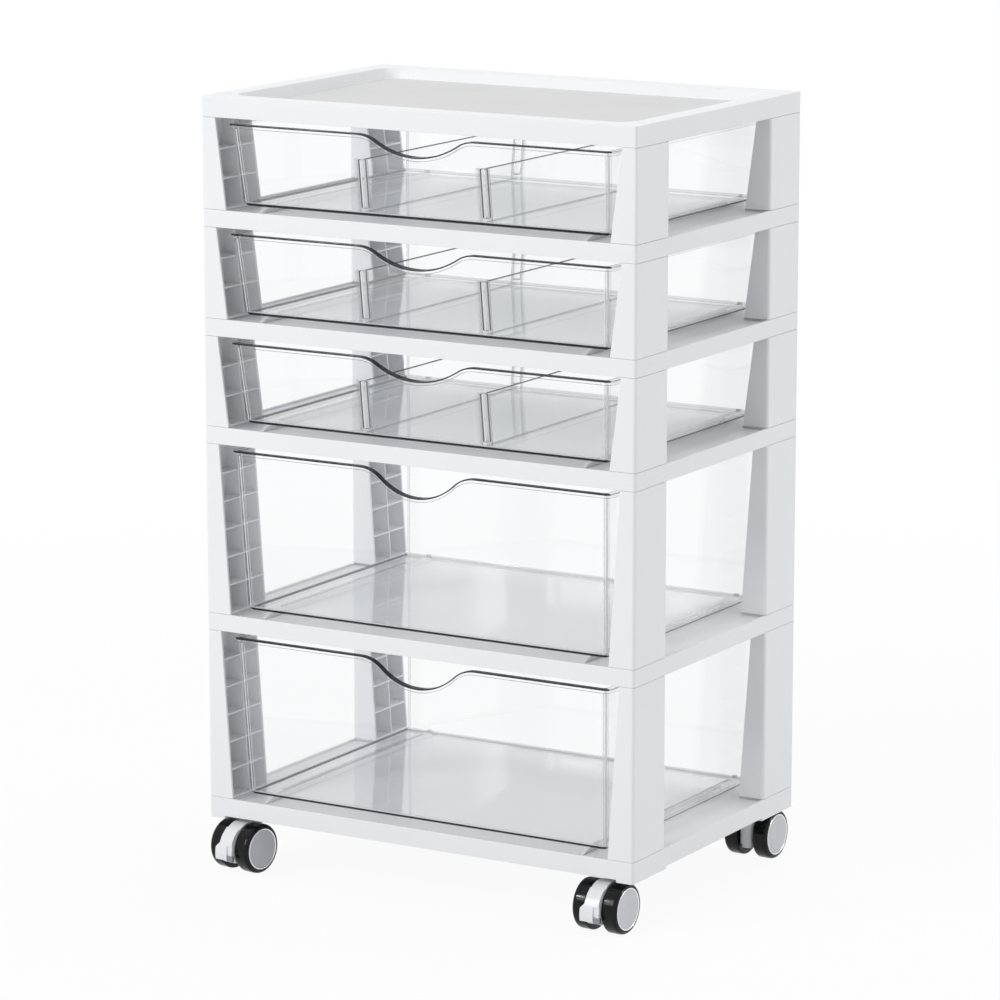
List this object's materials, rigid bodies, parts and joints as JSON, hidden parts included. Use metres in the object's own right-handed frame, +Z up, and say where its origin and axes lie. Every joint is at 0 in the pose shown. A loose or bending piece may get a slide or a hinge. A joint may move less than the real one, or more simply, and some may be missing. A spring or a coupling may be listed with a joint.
{
  "type": "plastic drawer tower",
  "caption": "Rolling drawer tower: stacked moulded panels and hollow posts on twin-wheel casters, with clear slide-out drawers and lift-out dividers.",
  "frame": {"origin": "on the floor, under the middle of the frame", "axes": "+Z up, -Y towards the front where the drawers open, +X to the right seen from the front"},
  "size_m": [0.367, 0.2769, 0.5884],
  "materials": {
    "frame_white": "satin white moulded plastic",
    "clear": "clear moulded plastic",
    "caster_white": "glossy white moulded plastic",
    "tyre": "glossy black nylon wheel with a light grey hub cap",
    "steel": "plain zinc-plated steel"
  },
  "bodies": {
    "frame": {"top_panel": "frame_white", "shelf_1": "frame_white", "shelf_2": "frame_white", "shelf_3": "frame_white", "shelf_4": "frame_white", "base_frame": "frame_white", "post_1_front_left": "frame_white", "post_1_front_right": "frame_white", "post_1_rear_left": "frame_white", "post_1_rear_right": "frame_white", "post_2_front_left": "frame_white", "post_2_front_right": "frame_white", "post_2_rear_left": "frame_white", "post_2_rear_right": "frame_white", "post_3_front_left": "frame_white", "post_3_front_right": "frame_white", "post_3_rear_left": "frame_white", "post_3_rear_right": "frame_white", "post_4_front_left": "frame_white", "post_4_front_right": "frame_white", "post_4_rear_left": "frame_white", "post_4_rear_right": "frame_white", "post_5_front_left": "frame_white", "post_5_front_right": "frame_white", "post_5_rear_left": "frame_white", "post_5_rear_right": "frame_white", "front_left_caster_stem": "steel", "front_right_caster_stem": "steel", "rear_left_caster_stem": "steel", "rear_right_caster_stem": "steel"},
    "drawer_1": {"drawer_1": "clear"},
    "drawer_2": {"drawer_2": "clear"},
    "drawer_3": {"drawer_3": "clear"},
    "drawer_4": {"drawer_4": "clear"},
    "drawer_5": {"drawer_5": "clear"},
    "divider_1_left": {"divider_1_left": "clear"},
    "divider_1_right": {"divider_1_right": "clear"},
    "divider_2_left": {"divider_2_left": "clear"},
    "divider_2_right": {"divider_2_right": "clear"},
    "divider_3_left": {"divider_3_left": "clear"},
    "divider_3_right": {"divider_3_right": "clear"},
    "front_left_caster": {"front_left_caster_housing": "caster_white", "front_left_axle": "steel"},
    "front_left_outer_wheel": {"front_left_outer_wheel": "tyre"},
    "front_left_inner_wheel": {"front_left_inner_wheel": "tyre"},
    "front_left_brake_lever": {"front_left_brake_lever": "caster_white"},
    "front_right_caster": {"front_right_caster_housing": "caster_white", "front_right_axle": "steel"},
    "front_right_outer_wheel": {"front_right_outer_wheel": "tyre"},
    "front_right_inner_wheel": {"front_right_inner_wheel": "tyre"},
    "front_right_brake_lever": {"front_right_brake_lever": "caster_white"},
    "rear_left_caster": {"rear_left_caster_housing": "caster_white", "rear_left_axle": "steel"},
    "rear_left_outer_wheel": {"rear_left_outer_wheel": "tyre"},
    "rear_left_inner_wheel": {"rear_left_inner_wheel": "tyre"},
    "rear_right_caster": {"rear_right_caster_housing": "caster_white", "rear_right_axle": "steel"},
    "rear_right_outer_wheel": {"rear_right_outer_wheel": "tyre"},
    "rear_right_inner_wheel": {"rear_right_inner_wheel": "tyre"}
  },
  "joints": [
    {"name": "drawer_1_slide", "type": "slide", "parent": "frame", "child": "drawer_1", "axis": [0, -1, 0], "range_m": [0, 0.19]},
    {"name": "drawer_2_slide", "type": "slide", "parent": "frame", "child": "drawer_2", "axis": [0, -1, 0], "range_m": [0, 0.19]},
    {"name": "drawer_3_slide", "type": "slide", "parent": "frame", "child": "drawer_3", "axis": [0, -1, 0], "range_m": [0, 0.19]},
    {"name": "drawer_4_slide", "type": "slide", "parent": "frame", "child": "drawer_4", "axis": [0, -1, 0], "range_m": [0, 0.19]},
    {"name": "drawer_5_slide", "type": "slide", "parent": "frame", "child": "drawer_5", "axis": [0, -1, 0], "range_m": [0, 0.19]},
    {"name": "divider_1_left_lift", "type": "slide", "parent": "drawer_1", "child": "divider_1_left", "axis": [0, 0, 1], "range_m": [0, 0.02]},
    {"name": "divider_1_right_lift", "type": "slide", "parent": "drawer_1", "child": "divider_1_right", "axis": [0, 0, 1], "range_m": [0, 0.02]},
    {"name": "divider_2_left_lift", "type": "slide", "parent": "drawer_2", "child": "divider_2_left", "axis": [0, 0, 1], "range_m": [0, 0.02]},
    {"name": "divider_2_right_lift", "type": "slide", "parent": "drawer_2", "child": "divider_2_right", "axis": [0, 0, 1], "range_m": [0, 0.02]},
    {"name": "divider_3_left_lift", "type": "slide", "parent": "drawer_3", "child": "divider_3_left", "axis": [0, 0, 1], "range_m": [0, 0.02]},
    {"name": "divider_3_right_lift", "type": "slide", "parent": "drawer_3", "child": "divider_3_right", "axis": [0, 0, 1], "range_m": [0, 0.02]},
    {"name": "front_left_swivel", "type": "hinge", "parent": "frame", "child": "front_left_caster", "pos_m": [-0.157, -0.1045, 0.019], "axis": [0, 0, 1], "continuous": true},
    {"name": "front_left_outer_wheel_spin", "type": "hinge", "parent": "front_left_caster", "child": "front_left_outer_wheel", "pos_m": [-0.15857, -0.1164, 0.019], "axis": [0.9914, -0.1305, 0], "continuous": true},
    {"name": "front_left_inner_wheel_spin", "type": "hinge", "parent": "front_left_caster", "child": "front_left_inner_wheel", "pos_m": [-0.15857, -0.1164, 0.019], "axis": [0.9914, -0.1305, 0], "continuous": true},
    {"name": "front_left_brake_hinge", "type": "hinge", "parent": "front_left_caster", "child": "front_left_brake_lever", "pos_m": [-0.15996, -0.12701, 0.03089], "axis": [-0.9914, 0.1305, 0], "range_deg": [0, 12]},
    {"name": "front_right_swivel", "type": "hinge", "parent": "frame", "child": "front_right_caster", "pos_m": [0.157, -0.1045, 0.019], "axis": [0, 0, 1], "continuous": true},
    {"name": "front_right_outer_wheel_spin", "type": "hinge", "parent": "front_right_caster", "child": "front_right_outer_wheel", "pos_m": [0.15669, -0.1165, 0.019], "axis": [0.9997, -0.0262, 0], "continuous": true},
    {"name": "front_right_inner_wheel_spin", "type": "hinge", "parent": "front_right_caster", "child": "front_right_inner_wheel", "pos_m": [0.15669, -0.1165, 0.019], "axis": [0.9997, -0.0262, 0], "continuous": true},
    {"name": "front_right_brake_hinge", "type": "hinge", "parent": "front_right_caster", "child": "front_right_brake_lever", "pos_m": [0.15641, -0.1272, 0.03089], "axis": [-0.9997, 0.0262, 0], "range_deg": [0, 12]},
    {"name": "rear_left_swivel", "type": "hinge", "parent": "frame", "child": "rear_left_caster", "pos_m": [-0.157, 0.1045, 0.019], "axis": [0, 0, 1], "continuous": true},
    {"name": "rear_left_outer_wheel_spin", "type": "hinge", "parent": "rear_left_caster", "child": "rear_left_outer_wheel", "pos_m": [-0.15825, 0.11643, 0.019], "axis": [-0.9945, -0.1045, 0], "continuous": true},
    {"name": "rear_left_inner_wheel_spin", "type": "hinge", "parent": "rear_left_caster", "child": "rear_left_inner_wheel", "pos_m": [-0.15825, 0.11643, 0.019], "axis": [-0.9945, -0.1045, 0], "continuous": true},
    {"name": "rear_right_swivel", "type": "hinge", "parent": "frame", "child": "rear_right_caster", "pos_m": [0.157, 0.1045, 0.019], "axis": [0, 0, 1], "continuous": true},
    {"name": "rear_right_outer_wheel_spin", "type": "hinge", "parent": "rear_right_caster", "child": "rear_right_outer_wheel", "pos_m": [0.15721, 0.1165, 0.019], "axis": [-0.9998, 0.0175, 0], "continuous": true},
    {"name": "rear_right_inner_wheel_spin", "type": "hinge", "parent": "rear_right_caster", "child": "rear_right_inner_wheel", "pos_m": [0.15721, 0.1165, 0.019], "axis": [-0.9998, 0.0175, 0], "continuous": true}
  ]
}
